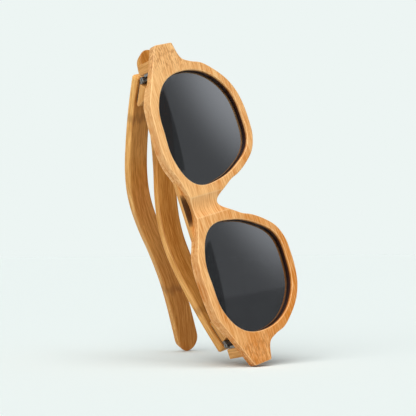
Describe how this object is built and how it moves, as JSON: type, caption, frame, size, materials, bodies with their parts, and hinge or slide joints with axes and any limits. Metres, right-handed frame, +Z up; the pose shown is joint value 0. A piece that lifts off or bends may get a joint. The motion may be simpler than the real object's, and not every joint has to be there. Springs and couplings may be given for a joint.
{
  "type": "sunglasses",
  "caption": "Bamboo sunglasses with dark lenses, a scooped bridge with a brow bar behind it, and spring hinges, standing on one end piece and one temple tip with the temples part folded.",
  "frame": {"origin": "on the floor, under the middle of the bounding box", "axes": "+Z up from the floor, +Y to the back of the pair as it stands, away from the lens faces, +X completes the right hand"},
  "size_m": [0.0748, 0.0925, 0.1454],
  "materials": {
    "bamboo": "satin bamboo with fine streaks along the grain",
    "bamboo_trim": "satin bamboo, cut blocks and strips",
    "smoke_lens": "dark grey polished lens",
    "steel": "plain steel hinge parts"
  },
  "bodies": {
    "front": {"front_frame": "bamboo", "brow_bar": "bamboo_trim", "left_lens": "smoke_lens", "left_end_block": "bamboo_trim", "left_front_leaf": "steel", "left_hinge_screw": "steel", "left_front_leaf_screws": "steel", "right_lens": "smoke_lens", "right_end_block": "bamboo_trim", "right_front_leaf": "steel", "right_hinge_screw": "steel", "right_front_leaf_screws": "steel"},
    "left_arm": {"left_temple": "bamboo", "left_temple_block": "bamboo_trim", "left_temple_leaf": "steel", "left_temple_leaf_screws": "steel", "left_hinge_spring": "steel", "left_spring_plunger": "steel"},
    "right_arm": {"right_temple": "bamboo", "right_temple_block": "bamboo_trim", "right_temple_leaf": "steel", "right_temple_leaf_screws": "steel", "right_hinge_spring": "steel", "right_spring_plunger": "steel"}
  },
  "joints": [
    {"name": "left_hinge", "type": "hinge", "parent": "front", "child": "left_arm", "pos_m": [-0.02467, -0.00727, 0.12603], "axis": [0.9694, 0.0428, 0.2418], "range_deg": [-1.5, 49]},
    {"name": "right_hinge", "type": "hinge", "parent": "front", "child": "right_arm", "pos_m": [0.00536, -0.02795, 0.0093], "axis": [-0.9694, -0.0428, -0.2418], "range_deg": [-14, 1.5]}
  ]
}
